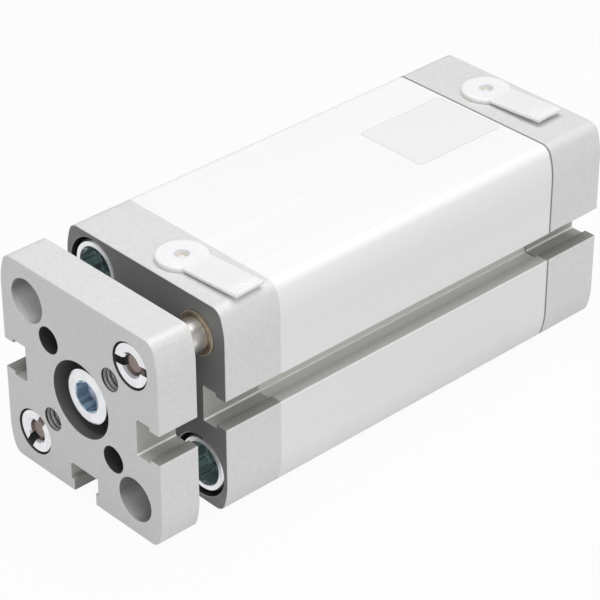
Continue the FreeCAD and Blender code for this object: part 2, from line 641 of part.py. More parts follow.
# ---------------------------------------------------------------- yoke
def yoke_plate():
    """Yoke plate: access holes, pin holes, threads, counterbores and three slots."""
    plate = slotted_block(YOKE_BACK, YOKE_FRONT, CAP_SLOT_GROWTH, True, True)
    through = (YOKE_BACK, YOKE_FRONT)
    plate = plate.cut(rod_x(YOKE_SCREW_CLEARANCE, *through))
    plate = plate.cut(rod_x(YOKE_COUNTERBORE, YOKE_SEAT, YOKE_FRONT))
    plate = plate.cut(lead_in(YOKE_COUNTERBORE, HOLE_BREAK, YOKE_FRONT, -1))
    plate = plate.cut(rod_x(ROD_DIAMETER + 2 * FIT, YOKE_BACK, ROD_FRONT_END))
    for y, z in SCREW_CORNERS:
        plate = plate.cut(rod_x(ACCESS_HOLE, *through, y, z))
        plate = plate.cut(lead_in(ACCESS_HOLE, HOLE_BREAK, YOKE_FRONT, -1, y, z))
    for y, z in GUIDE_CORNERS:
        plate = plate.cut(rod_x(NUT_COUNTERBORE, NUT_SEAT, YOKE_FRONT, y, z))
        plate = plate.cut(lead_in(NUT_COUNTERBORE, HOLE_BREAK, YOKE_FRONT, -1, y, z))
        plate = plate.cut(rod_x(STUD_CLEARANCE, *through, y, z))
        plate = plate.cut(rod_x(GUIDE_DIAMETER + 2 * FIT, YOKE_BACK, YOKE_BACK + GUIDE_PILOT_DEPTH, y, z))
    for offset in (-PATTERN_OFFSET, PATTERN_OFFSET):
        for diameter, z in ((PIN_HOLE, -offset), (M5_CORE, offset)):
            plate = plate.cut(rod_x(diameter, *through, offset, z))
            plate = plate.cut(lead_in(diameter, HOLE_BREAK, YOKE_FRONT, -1, offset, z))
    return plate.removeSplitter()


def yoke_screw():
    """M6 screw with a low cylinder head that holds the yoke plate on the piston rod."""
    top = YOKE_SEAT + YOKE_HEAD_LENGTH
    tip = YOKE_SEAT - YOKE_SHANK_LENGTH
    head = YOKE_HEAD_DIAMETER / 2
    shank = YOKE_SHANK_DIAMETER / 2
    bevel = YOKE_SHANK_BEVEL
    screw = turned([
        (tip, 0), (tip, shank - bevel), (tip + bevel, shank), (YOKE_SEAT, shank), (YOKE_SEAT, head),
        (top - YOKE_HEAD_LAND, head), (top - YOKE_HEAD_LAND / 4, head - YOKE_HEAD_RIM / 4),
        (top, head - YOKE_HEAD_RIM), (top, 0),
    ])
    floor = top - YOKE_SOCKET_DEPTH
    screw = screw.cut(hexagon_x(YOKE_SOCKET_WIDTH, floor, top, YOKE_SOCKET_TURN))
    point = Vector(floor, 0, 0)
    return screw.cut(Part.makeCone(YOKE_SOCKET_CONE / 2, 0, YOKE_SOCKET_CONE_DEPTH, point, -AXIS_X))


def guide_rod(y, z):
    """Guide rod with a shoulder at the yoke plate and a threaded stud for its nut."""
    shoulder = YOKE_BACK + GUIDE_PILOT_DEPTH
    tip = YOKE_FRONT - STUD_RECESS
    radius = GUIDE_DIAMETER / 2
    stud = STUD_DIAMETER / 2
    tip_bevel = stud - STUD_TIP / 2
    rear = GUIDE_REAR_END
    return turned([
        (rear, 0), (rear, radius - GUIDE_REAR_BEVEL), (rear + GUIDE_REAR_BEVEL, radius),
        (shoulder, radius), (shoulder, stud), (tip - tip_bevel, stud), (tip, STUD_TIP / 2), (tip, 0),
    ], y, z)


def guide_rods():
    """Both guide rods."""
    return [guide_rod(y, z) for y, z in GUIDE_CORNERS]


def guide_rod_nut(y, z, turn):
    """Round nut with one driver slot across its face and a countersunk thread."""
    top = NUT_SEAT + NUT_LENGTH
    radius = NUT_DIAMETER / 2
    inner = STUD_DIAMETER / 2 + FIT
    nut = turned([
        (NUT_SEAT, inner), (NUT_SEAT, radius), (top - NUT_BEVEL, radius), (top, radius - NUT_BEVEL),
        (top, inner + NUT_COUNTERSINK), (top - NUT_COUNTERSINK, inner),
    ], y, z)
    corner = Vector(top - NUT_SLOT_DEPTH, y - NUT_DIAMETER, z - NUT_SLOT_WIDTH / 2)
    slot = Part.makeBox(NUT_SLOT_DEPTH, 2 * NUT_DIAMETER, NUT_SLOT_WIDTH, corner)
    slot.rotate(Vector(0, y, z), AXIS_X, turn)
    return nut.cut(slot)


def guide_rod_nuts():
    """Both guide rod nuts."""
    return [guide_rod_nut(y, z, turn) for (y, z), turn in zip(GUIDE_CORNERS, NUT_TURNS)]


# ---------------------------------------------------------------- port plugs
def plug_tab(top, reach, rise):
    """Pull tab along +Y, thinner than the disc, with gripping ribs near its lifted end."""
    start = PLUG_DISC_DIAMETER / 2 - PLUG_TAB_OVERLAP
    middle = (start + reach) / 2
    stations = ((start, 0), (middle, rise * PLUG_TAB_SAG), (reach, rise))
    curves = []
    for level in (top - PLUG_TAB_THICKNESS, top):
        points = [Vector(0, y, level + lift) for y, lift in stations]
        curves.append(Part.Arc(*points).toShape())
    ends = []
    for y, lift in (stations[0], stations[-1]):
        low_point = Vector(0, y, top - PLUG_TAB_THICKNESS + lift)
        ends.append(Part.makeLine(low_point, Vector(0, y, top + lift)))
    face = Part.Face(Part.Wire(Part.__sortEdges__(curves + ends)))
    tab = face.extrude(Vector(PLUG_TAB_WIDTH, 0, 0))
    tab.translate(Vector(-PLUG_TAB_WIDTH / 2, 0, 0))
    end_slope = 2 * (1 - PLUG_TAB_SAG) * rise / (reach - start)
    rib_length = PLUG_TAB_WIDTH - 2 * PLUG_RIB_MARGIN
    ribs = []
    for index in range(PLUG_RIBS):
        back = PLUG_RIB_MARGIN + index * PLUG_RIB_PITCH
        corner = Vector(-rib_length / 2, reach - back, top + rise - end_slope * back)
        ribs.append(Part.makeCylinder(PLUG_RIB_RADIUS, rib_length, corner, AXIS_X))
    return tab.fuse(ribs)


def port_plug(x, y, turn, reach, rise):
    """Soft plug: disc with a dimple, stem in the port's lead-in and pull tab."""
    low = HALF + PLUG_STANDOFF
    top = low + PLUG_THICKNESS
    disc = rod_z(PLUG_DISC_DIAMETER, low, top, 0, 0)
    rim = [edge for edge in disc.Edges if edge.BoundBox.ZMin > low + SAME]
    disc = disc.makeFillet(PLUG_RIM_ROUND, rim)
    stem = rod_z(PLUG_STEM_DIAMETER, HALF - PLUG_STEM_LENGTH, low, 0, 0)
    plug = disc.fuse([stem, plug_tab(top, reach, rise)])
    dimple_floor = top - PLUG_DIMPLE_DEPTH
    dimple = rod_z(PLUG_DIMPLE_DIAMETER, dimple_floor, top, 0, 0)
    pip = rod_z(PLUG_PIP_DIAMETER, dimple_floor, dimple_floor + PLUG_PIP_HEIGHT, 0, 0)
    plug = plug.cut(dimple.cut(pip))
    plug.rotate(ORIGIN, AXIS_Z, turn)
    plug.translate(Vector(x, y, 0))
    return plug.removeSplitter()


# ---------------------------------------------------------------- assembly
def build_parts():
    """Every node of the assembly by name; a list holds the separate solids of one node."""
    plug_forms = list(zip(PLUG_TURNS, PLUG_TAB_REACHES, PLUG_TAB_RISES))
    return {
        "cylinder_barrel": cylinder_barrel(),
        "bearing_cap": bearing_cap(),
        "end_cap": end_cap(),
        "bearing_cap_screws": bearing_cap_screws(),
        "end_cap_screws": end_cap_screws(),
        "front_oring": cap_oring(BARREL_END, -1),
        "rear_oring": cap_oring(BARREL_START, 1),
        "rod_bush": rod_bush(),
        "rod_seal": rod_seal(),
        "guide_bushes": guide_bushes(),
        "piston_rear_half": piston_rear_half(),
        "piston_front_half": piston_front_half(),
        "piston_lip_seals": piston_lip_seals(),
        "piston_magnet": piston_magnet(),
        "piston_guide_ring": piston_guide_ring(),
        "rear_cushion": cushion_ring(PISTON_START, -1),
        "front_cushion": cushion_ring(PISTON_END, 1),
        "piston_screw": piston_screw(),
        "piston_rod": piston_rod(),
        "yoke_plate": yoke_plate(),
        "yoke_screw": yoke_screw(),
        "guide_rods": guide_rods(),
        "guide_rod_nuts": guide_rod_nuts(),
        "front_port_plug": port_plug(FRONT_PORT_X, PORT_OFFSET, *plug_forms[0]),
        "rear_port_plug": port_plug(REAR_PORT_X, -PORT_OFFSET, *plug_forms[1]),
    }


def main():
    """Write one STEP file per node."""
    os.makedirs("parts", exist_ok=True)
    for name, shape in build_parts().items():
        solids = shape if isinstance(shape, list) else [shape]
        flat = [solid for item in solids for solid in item.Solids]
        for solid in flat:
            if not solid.isValid():
                raise ValueError(name + " is not a valid solid")
        node = flat[0] if len(flat) == 1 else Part.makeCompound(flat)
        node.exportStep("parts/" + name + ".step")
        triangles = sum(len(solid.tessellate(0.1)[1]) for solid in flat)
        print(f"{name:20s} solids {len(flat)} volume {node.Volume:9.1f} mm3 triangles {triangles}")


main()
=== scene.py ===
"""Looks of a guided pneumatic cylinder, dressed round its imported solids.

The solids of the unit stay as they are. This script gives every one of them its finish,
adds the thread turns and the bare label film, and sets up a pale studio with its camera.
"""

import logging
import math
from dataclasses import dataclass
from enum import Enum
from functools import reduce
from typing import Any, Dict, List, Optional, Sequence, Tuple, Union

import bpy
from mathutils import Matrix, Vector


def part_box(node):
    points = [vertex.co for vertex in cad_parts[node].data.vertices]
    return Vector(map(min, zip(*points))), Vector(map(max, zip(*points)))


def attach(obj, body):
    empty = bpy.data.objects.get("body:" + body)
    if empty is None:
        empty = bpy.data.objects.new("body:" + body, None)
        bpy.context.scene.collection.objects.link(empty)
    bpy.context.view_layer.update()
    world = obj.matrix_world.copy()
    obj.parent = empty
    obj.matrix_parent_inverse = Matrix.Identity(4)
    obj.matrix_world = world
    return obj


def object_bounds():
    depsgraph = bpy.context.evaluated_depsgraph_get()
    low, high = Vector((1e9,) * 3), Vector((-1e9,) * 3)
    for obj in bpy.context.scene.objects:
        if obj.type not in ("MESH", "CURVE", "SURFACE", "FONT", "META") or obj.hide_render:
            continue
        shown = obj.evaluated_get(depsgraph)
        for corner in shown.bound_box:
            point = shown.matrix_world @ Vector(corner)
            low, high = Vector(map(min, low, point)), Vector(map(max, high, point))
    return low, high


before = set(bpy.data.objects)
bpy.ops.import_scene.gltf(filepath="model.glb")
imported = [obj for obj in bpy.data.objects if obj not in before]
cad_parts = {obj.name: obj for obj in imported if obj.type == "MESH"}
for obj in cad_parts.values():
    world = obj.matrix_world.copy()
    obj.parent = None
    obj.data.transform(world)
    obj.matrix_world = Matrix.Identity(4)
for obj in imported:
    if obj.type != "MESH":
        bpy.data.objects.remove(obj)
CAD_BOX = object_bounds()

LOG = logging.getLogger("guided_cylinder")
MM = 0.001
# Sizes of the sensor slots, which place their painted shade and painted highlight
SLOT_FLOOR = 14.1 * MM  # of the sensor slots, from the axis
SLOT_LIP = 17.4 * MM    # inner side of their lips
SLOT_RIM = 19.6 * MM    # just under the outer side of their lips
SLOT_HEAD_HALF = 3.55 * MM
SLOT_MOUTH_HALF = 2.8 * MM
SLOT_CREASE = 14.42 * MM  # outer end of the rounding between floor and walls
SLOT_CREASE_SIDE = 3.26 * MM
SEAM_HALF = 0.2 * MM
SEAM_TINT = (0.30, 0.30, 0.295)
MASK_EDGE = 0.05 * MM   # over which most masks rise
SOFT_EDGE = 0.06 * MM   # over which a bright or dark line fades out
OVERLAP = 0.01 * MM     # by which an added piece sinks into what carries it
CORNER_STEPS = 6
Colour = Tuple[float, float, float]
Point2 = Tuple[float, float]


class Lay(Enum):
    """How the marks of working lie, as the stretch of their noise along X, Y and Z."""

    EVEN = (1.0, 1.0, 1.0)
    DRAWN = (220.0, 1.0, 1.0)
    TURNED = (1.0, 70.0, 70.0)


# ------------------------------------------------------------------ shader expressions
class Signal:
    """A number that varies over a surface; arithmetic on it adds the nodes it needs."""

    def __init__(self, nodes: "Nodes", socket: bpy.types.NodeSocket) -> None:
        """Wrap one output socket.

        Args:
            nodes: the material's node builder.
            socket: the output socket that carries the value.
        """
        self.nodes = nodes
        self.socket = socket

    def _math(self, operation: str, *values: "Number") -> "Signal":
        """Add one Math node and return its result."""
        return self.nodes.add("ShaderNodeMath", {"operation": operation}, dict(enumerate(values)))

    def __add__(self, other: "Number") -> "Signal":
        """Sum."""
        return self._math("ADD", self, other)

    __radd__ = __add__

    def __sub__(self, other: "Number") -> "Signal":
        """Difference."""
        return self._math("SUBTRACT", self, other)

    def __rsub__(self, other: "Number") -> "Signal":
        """Difference from a plain number."""
        return self._math("SUBTRACT", other, self)

    def __mul__(self, other: "Number") -> "Signal":
        """Product."""
        return self._math("MULTIPLY", self, other)

    __rmul__ = __mul__

    def __truediv__(self, other: "Number") -> "Signal":
        """Quotient."""
        return self._math("DIVIDE", self, other)

    def root(self) -> "Signal":
        """Square root."""
        return self._math("SQRT", self)

    def size(self) -> "Signal":
        """Absolute value."""
        return self._math("ABSOLUTE", self)

    def at_least(self, other: "Number") -> "Signal":
        """Larger of two values."""
        return self._math("MAXIMUM", self, other)

    def at_most(self, other: "Number") -> "Signal":
        """Smaller of two values."""
        return self._math("MINIMUM", self, other)

    def step(self, low: float, high: float) -> "Signal":
        """Rise smoothly from 0 at low to 1 at high.

        Args:
            low: value at which the result starts to rise.
            high: value at which the result reaches 1.

        Returns:
            The smooth step; it falls where low is above high.
        """
        values = {"Value": self, "From Min": low, "From Max": high, "To Min": 0.0, "To Max": 1.0}
        return self.nodes.add("ShaderNodeMapRange", {"interpolation_type": "SMOOTHSTEP"}, values)


Number = Union[Signal, float, int]


class Nodes:
    """Builder of one material or world: every node but the output comes from the method add."""

    def __init__(self, name: str, world: bool = False) -> None:
        """Start an empty material or world.

        Args:
            name: its name.
            world: whether it is a world.
        """
        self.owner = (bpy.data.worlds if world else bpy.data.materials).new(name)
        self.owner.use_nodes = True
        self.tree = self.owner.node_tree
        self.tree.nodes.clear()
        self._output_kind = "ShaderNodeOutputWorld" if world else "ShaderNodeOutputMaterial"
        self._place: Optional[Dict[str, Signal]] = None

    def add(
        self,
        kind: str,
        settings: Optional[Dict[str, Any]] = None,
        inputs: Optional[Dict[Any, Any]] = None,
        output: Union[int, str] = 0,
    ) -> Signal:
        """Add a node, set it up and connect it.

        Args:
            kind: the node's Blender type.
            settings: attributes to set first, such as a Math node's operation.
            inputs: values or links by input name or index.
            output: the output to return.

        Returns:
            The chosen output, wrapped.
        """
        node = self.tree.nodes.new(kind)
        for key, value in (settings or {}).items():
            setattr(node, key, value)
        for key, value in (inputs or {}).items():
            if isinstance(value, Signal):
                self.tree.links.new(value.socket, node.inputs[key])
            else:
                node.inputs[key].default_value = value
        return Signal(self, node.outputs[output])

    def place(self) -> Dict[str, Signal]:
        """Coordinates in the unit's own frame, in metres, by axis name and as a vector."""
        if self._place is None:
            vector = self.add("ShaderNodeTexCoord", output="Object")
            split = {"Vector": vector}
            self._place = {
                "vector": vector,
                "x": self.add("ShaderNodeSeparateXYZ", inputs=split, output="X"),
                "y": self.add("ShaderNodeSeparateXYZ", inputs=split, output="Y"),
                "z": self.add("ShaderNodeSeparateXYZ", inputs=split, output="Z"),
            }
        return self._place

    def noise(self, size: float, detail: float = 2.0, lay: Lay = Lay.EVEN) -> Signal:
        """Cloudy noise with features of a given size.

        Args:
            size: feature size in metres.
            detail: number of finer layers.
            lay: how the features lie.

        Returns:
            Noise from 0 to 1, mostly near one half.
        """
        scale = tuple(1.0 / (size * factor) for factor in lay.value)
        factors = {0: self.place()["vector"], 1: scale}
        vector = self.add("ShaderNodeVectorMath", {"operation": "MULTIPLY"}, factors)
        inputs = {"Vector": vector, "Scale": 1.0, "Detail": detail}
        return self.add("ShaderNodeTexNoise", inputs=inputs)

    def blend(self, first: Any, second: Any, mask: Number) -> Signal:
        """Mix two colours by a mask.

        Args:
            first: colour or link where the mask is 0.
            second: colour or link where the mask is 1.
            mask: the mask.

        Returns:
            The mixed colour.
        """
        four = [(*c, 1.0) if isinstance(c, tuple) else c for c in (first, second)]
        inputs = {0: mask, 6: four[0], 7: four[1]}
        return self.add("ShaderNodeMix", {"data_type": "RGBA"}, inputs, output=2)

    def radius_about(self, centre: Point2) -> Signal:
        """Distance from an axis parallel to X.

        Args:
            centre: the axis's Y and Z in metres.

        Returns:
            The distance in metres.
        """
        place = self.place()
        y = place["y"] - centre[0]
        z = place["z"] - centre[1]
        return (y * y + z * z).root()

    def facing(self, centre: Point2, angle: float, half: float) -> Signal:
        """Soft mask of one side of a bore's wall.

        Args:
            centre: the bore's Y and Z in metres.
            angle: direction of the side's middle, in degrees from Y towards Z.
            half: half the side's width in degrees.

        Returns:
            1 in the side's middle, 0 outside it.
        """
        place = self.place()
        turn = math.radians(angle)
        y = place["y"] - centre[0]
        z = place["z"] - centre[1]
        cosine = (y * math.cos(turn) + z * math.sin(turn)) / self.radius_about(centre)
        return cosine.step(math.cos(math.radians(half)), 1.0)

    def within(self, value: Signal, low: float, high: float, edge: float = 0.03 * MM) -> Signal:
        """Mask of a band.

        Args:
            value: the value to test.
            low: start of the band.
            high: end of the band.
            edge: width over which the mask rises and falls, outside the band.

        Returns:
            1 inside the band, 0 outside it.
        """
        return value.step(low - edge, low) * value.step(high + edge, high)

    def paint_slot_shading(self, colour: Signal, tint: Colour, tones: "SlotShading") -> Signal:
        """Paint shade into the three sensor slots and a highlight along the corners of their
        floor.

        Args:
            colour: the colour outside the slots.
            tint: the metal's tint.
            tones: how light the painted shade and the painted highlight of the slots' parts are
                against it.

        Returns:
            The colour with painted shade on walls and lips and a painted highlight line in the
            floor's corners.
        """
        place = self.place()
        depth = place["y"].size().at_least(place["z"] * -1.0)
        across = place["y"].size().at_most(place["z"].size())
        # Painted shade on the head and mouth of each slot, and a painted highlight in the corners
        # of its floor
        head = self.within(depth, SLOT_FLOOR, SLOT_LIP, MASK_EDGE)
        head = head * across.step(SLOT_HEAD_HALF + MASK_EDGE, SLOT_HEAD_HALF)
        mouth = self.within(depth, SLOT_LIP, SLOT_RIM, MASK_EDGE)
        mouth = mouth * across.step(SLOT_MOUTH_HALF + MASK_EDGE, SLOT_MOUTH_HALF)
        crease_highlight = head * depth.step(SLOT_CREASE + MASK_EDGE, SLOT_CREASE)
        crease_highlight = crease_highlight * across.step(SLOT_CREASE_SIDE - SOFT_EDGE, SLOT_CREASE_SIDE)
        warm = (tint[0], 0.995 * tint[1], 0.96 * tint[2])
        colour = self.blend(colour, shaded(warm, tones.inner), head)
        colour = self.blend(colour, shaded(warm, tones.lip), mouth)
        return self.blend(colour, shaded(tint, tones.crease_highlight), crease_highlight)

    def raised(self, height: Signal, depth: float, strength: float = 1.0) -> Signal:
        """Bumped normal.

        Args:
            height: height from 0 to 1.
            depth: what a height of 1 stands for, in metres.
            strength: how much of the bump shows.

        Returns:
            The normal.
        """
        inputs = {"Height": height * depth, "Distance": 1.0, "Strength": strength}
        return self.add("ShaderNodeBump", inputs=inputs)

    def finish(self, shader: Dict[str, Any]) -> bpy.types.Material:
        """Close the material with one principled surface.

        Args:
            shader: values and links of the surface, by socket name.

        Returns:
            The finished material.
        """
        surface = self.add("ShaderNodeBsdfPrincipled", inputs=shader)
        self.add_output(surface)
        return self.owner

    def add_output(self, surface: Signal) -> None:
        """Connect a surface to the output."""
        output = self.tree.nodes.new(self._output_kind)
        self.tree.links.new(surface.socket, output.inputs["Surface"])


def either(masks: Sequence[Signal]) -> Signal:
    """Union of masks."""
    return reduce(Signal.at_least, masks)


def shaded(tint: Colour, factor: float) -> Colour:
    """Tint made darker or lighter, at most white."""
    return tuple(min(1.0, factor * part) for part in tint)


# ------------------------------------------------------------------ finishes
@dataclass(frozen=True)
class SlotShading:
    """Tones of a slot against the metal outside it: painted shade on its walls and lips and a
    painted highlight in its floor's corners; they stand for what its walls reflect.
    """

    inner: float = 0.72
    lip: float = 0.42
    crease_highlight: float = 1.36


@dataclass(frozen=True)
class Bore:
    """Hole along X with a wall as bored: its tint, which is painted shade, and a painted sheen
    towards one side.
    """

    centre: Point2
    radius: float
    tint: Colour
    sheen_tint: Optional[Colour] = None
    sheen_angle: float = 0.0
    sheen_half: float = 45.0


@dataclass(frozen=True)
class BlastedAluminium:
    """Machined, tumbled and clear anodised aluminium with a fine grain."""

    name: str
    bores: Tuple[Bore, ...]
    tint: Colour = (0.735, 0.735, 0.73)
    # painted shade and painted highlight of the sensor slots
    slot: SlotShading = SlotShading()
    # start and tone of painted shade on the end face in the gap before the yoke plate
    gap_shade_from: float = 1.0
    gap_shade_tone: float = 0.32
    seam: float = 1.0
    seam_tint: Colour = SEAM_TINT
    grain: float = 0.16 * MM
    grain_depth: float = 0.008 * MM
    metallic: float = 0.2
    roughness: float = 0.5
    bore_edge: float = 0.04 * MM

    def build(self) -> bpy.types.Material:
        """Build the material.

        Returns:
            Fine-grained metal; painted shade and sheen in its turned bores, painted shade and
            highlight in its slots, painted shade on an end face in a gap, and darker at a seam.
        """
        nodes = Nodes(self.name)
        along = nodes.place()["x"]
        fine = nodes.noise(self.grain, 3.0)
        cloud = nodes.noise(1.1 * MM, 3.0)
        tone = ((fine - 0.5) * 2.0 + (cloud - 0.5) * 0.7 + 0.5).step(0.1, 0.9)
        colour = nodes.blend(shaded(self.tint, 0.93), shaded(self.tint, 1.05), tone)
        specks = nodes.noise(0.4 * MM, 1.0).step(0.68, 0.76)
        colour = nodes.blend(colour, shaded(self.tint, 0.86), specks * 0.6)
        # painted shade and a painted highlight in the sensor slots
        colour = nodes.paint_slot_shading(colour, self.tint, self.slot)
        # Painted shade: the end face in the gap before the yoke plate is darkened.
        gap_shade = along.step(self.gap_shade_from - MASK_EDGE, self.gap_shade_from)
        colour = nodes.blend(colour, shaded(self.tint, self.gap_shade_tone), gap_shade)
        at_seam = nodes.within(along, self.seam - SEAM_HALF, self.seam + SEAM_HALF)
        colour = nodes.blend(colour, self.seam_tint, at_seam)
        colour, height = self.turned(nodes, colour, fine)
        return nodes.finish({
            "Base Color": colour,
            "Metallic": self.metallic,
            "Roughness": self.roughness + (cloud - 0.5) * 0.12,
            "Normal": nodes.raised(height, self.grain_depth, 0.8),
        })

    def turned(self, nodes: Nodes, colour: Signal, grain: Signal) -> Tuple[Signal, Signal]:
        """Paint shade and sheen on the walls of the bores and turn their grain into rings.

        Args:
            nodes: the material's node builder.
            colour: the colour outside the bores.
            grain: the height outside the bores.

        Returns:
            The colour and the height, bores included.
        """
        rings = nodes.noise(0.05 * MM, 2.0, Lay.TURNED)
        masks: List[Signal] = []
        for bore in self.bores:
            away = nodes.radius_about(bore.centre)
            inside = away.step(bore.radius + self.bore_edge, bore.radius)
            # the wall's tint is painted shade; its sheen is a painted highlight
            wall: Any = bore.tint
            if bore.sheen_tint:
                lit = nodes.facing(bore.centre, bore.sheen_angle, bore.sheen_half)
                wall = nodes.blend(wall, bore.sheen_tint, lit)
            wall = nodes.blend(wall, bore.tint, rings.step(0.5, 0.7) * 0.4)
            colour = nodes.blend(colour, wall, inside)
            masks.append(inside)
        bored = either(masks)
        return colour, grain * (1.0 - bored) + rings * bored * 0.3


@dataclass(frozen=True)
class AnodisedExtrusion:
    """Clear anodised extruded aluminium with fine lines along its length."""

    name: str
    tint: Colour = (0.87, 0.87, 0.87)
    # painted shade and painted highlight of the sensor slots
    slot: SlotShading = SlotShading(0.90, 0.64, 1.15)
    rear_seam: float = 12.5 * MM
    seam_tint: Colour = SEAM_TINT
    line: float = 0.22 * MM
    metallic: float = 0.2
    specular: float = 0.25
    roughness: float = 0.72

    def build(self) -> bpy.types.Material:
        """Build the material.

        Returns:
            Near-white satin metal with lengthwise lines, with painted shade and a painted
            highlight inside the slots.
        """
        nodes = Nodes(self.name)
        along = nodes.place()["x"]
        lines = nodes.noise(self.line, 3.0, Lay.DRAWN)
        broad = nodes.noise(2.6 * MM, 2.0, Lay.DRAWN)
        fine = nodes.noise(0.12 * MM, 2.0)
        tone = ((lines - 0.5) * 1.5 + (broad - 0.5) * 0.8 + 0.5).step(0.1, 0.9)
        colour = nodes.blend(shaded(self.tint, 0.985), shaded(self.tint, 1.015), tone)
        # painted shade and a painted highlight in the sensor slots
        colour = nodes.paint_slot_shading(colour, self.tint, self.slot)
        seam_end = self.rear_seam + SEAM_HALF
        rear = along.step(seam_end + SOFT_EDGE, seam_end)
        colour = nodes.blend(colour, self.seam_tint, rear)
        return nodes.finish({
            "Base Color": colour,
            "Metallic": self.metallic,
            "Specular IOR Level": self.specular,
            "Roughness": self.roughness + (lines - 0.5) * 0.12,
            "Normal": nodes.raised(lines + fine * 0.4, 0.003 * MM, 0.6),
        })


@dataclass(frozen=True)
class ZincPlated:
    """Bright zinc plated steel with a bluish passivation."""

    name: str
    tint: Colour = (0.84, 0.85, 0.87)
    socket_tint: Colour = (0.30, 0.40, 0.40)
    floor_tint: Colour = (0.10, 0.13, 0.13)
    sockets: Tuple[Point2, ...] = ()
    socket_radius: float = 4.05 * MM
    socket_edge: float = 0.12 * MM
    floor_below: float = -1.0
    roughness: float = 0.24

    def build(self) -> bpy.types.Material:
        """Build the material.

        Returns:
            Bright plated metal; its driver sockets are tinted, with lengthwise marks.
        """
        nodes = Nodes(self.name)
        grain = nodes.noise(0.35 * MM, 3.0)
        cloud = nodes.noise(1.8 * MM, 2.0)
        colour = nodes.blend(shaded(self.tint, 0.9), self.tint, cloud.step(0.3, 0.7))
        metallic: Union[float, Signal] = 1.0
        if self.sockets:
            marks = nodes.noise(0.7 * MM, 2.0, Lay.DRAWN).step(0.35, 0.65)
            wall = nodes.blend(shaded(self.socket_tint, 0.6), shaded(self.socket_tint, 1.6), marks)
            low = nodes.place()["x"].step(self.floor_below + MASK_EDGE, self.floor_below)
            wall = nodes.blend(wall, self.floor_tint, low)
            edge = self.socket_radius - self.socket_edge
            radii = [nodes.radius_about(centre) for centre in self.sockets]
            inside = either([radius.step(self.socket_radius, edge) for radius in radii])
            colour = nodes.blend(colour, wall, inside)
            metallic = 1.0 - inside * 0.55
        return nodes.finish({
            "Base Color": colour,
            "Metallic": metallic,
            "Roughness": self.roughness + (grain - 0.5) * 0.16,
            "Normal": nodes.raised(grain, 0.008 * MM, 0.6),
        })


@dataclass(frozen=True)
class GroundSteel:
    """Ground and polished shaft steel; its stud keeps a darker, copper-like tone."""

    name: str
    tint: Colour = (0.72, 0.69, 0.65)
    stud_tint: Colour = (0.36, 0.29, 0.27)
    stud_start: float = 1.0
    roughness: float = 0.16

    def build(self) -> bpy.types.Material:
        """Build the material.

        Returns:
            Polished metal with faint grinding rings.
        """
        nodes = Nodes(self.name)
        rings = nodes.noise(0.09 * MM, 2.0, Lay.TURNED)
        along = nodes.place()["x"]
        stud = along.step(self.stud_start, self.stud_start + 0.2 * MM)
        colour = nodes.blend(shaded(self.tint, 0.94), self.tint, rings.step(0.3, 0.7))
        colour = nodes.blend(colour, self.stud_tint, stud)
        return nodes.finish({
            "Base Color": colour,
            "Metallic": 1.0,
            "Roughness": self.roughness + stud * 0.3 + (rings - 0.5) * 0.06,
            "Normal": nodes.raised(rings, 0.002 * MM, 0.5),
        })


@dataclass(frozen=True)
class PlainFinish:
    """One even finish with a light grain, for bushes, seals, piston pieces and the like."""

    name: str
    tint: Colour
    metallic: float = 0.0
    roughness: float = 0.5
    unevenness: float = 0.12
    grain: float = 0.25 * MM
    grain_depth: float = 0.006 * MM

    def build(self) -> bpy.types.Material:
        """Build the material.

        Returns:
            The tint with slight grain and unevenness.
        """
        nodes = Nodes(self.name)
        grain = nodes.noise(self.grain, 3.0)
        cloud = nodes.noise(2.4 * MM, 2.0)
        tone = (grain - 0.5 + (cloud - 0.5) * 0.8 + 0.5).step(0.2, 0.8)
        colour = nodes.blend(shaded(self.tint, 1.0 - self.unevenness), self.tint, tone)
        return nodes.finish({
            "Base Color": colour,
            "Metallic": self.metallic,
            "Roughness": self.roughness + (cloud - 0.5) * 0.12,
            "Normal": nodes.raised(grain, self.grain_depth, 0.6),
        })


@dataclass(frozen=True)
class LabelFilm:
    """Thin matt film with a faint line of painted shade round its edge."""

    name: str
    low: Point2
    high: Point2
    tint: Colour = (0.80, 0.80, 0.80)
    edge_shade_tint: Colour = (0.68, 0.67, 0.65)
    line: float = 0.16 * MM
    roughness: float = 0.45

    def build(self) -> bpy.types.Material:
        """Build the material.

        Returns:
            The bare film.
        """
        nodes = Nodes(self.name)
        place = nodes.place()
        x = nodes.within(place["x"], self.low[0] + self.line, self.high[0] - self.line)
        y = nodes.within(place["y"], self.low[1] + self.line, self.high[1] - self.line)
        return nodes.finish({
            # painted shade line along the film's edge
            "Base Color": nodes.blend(self.edge_shade_tint, self.tint, x * y),
            "Roughness": self.roughness,
        })


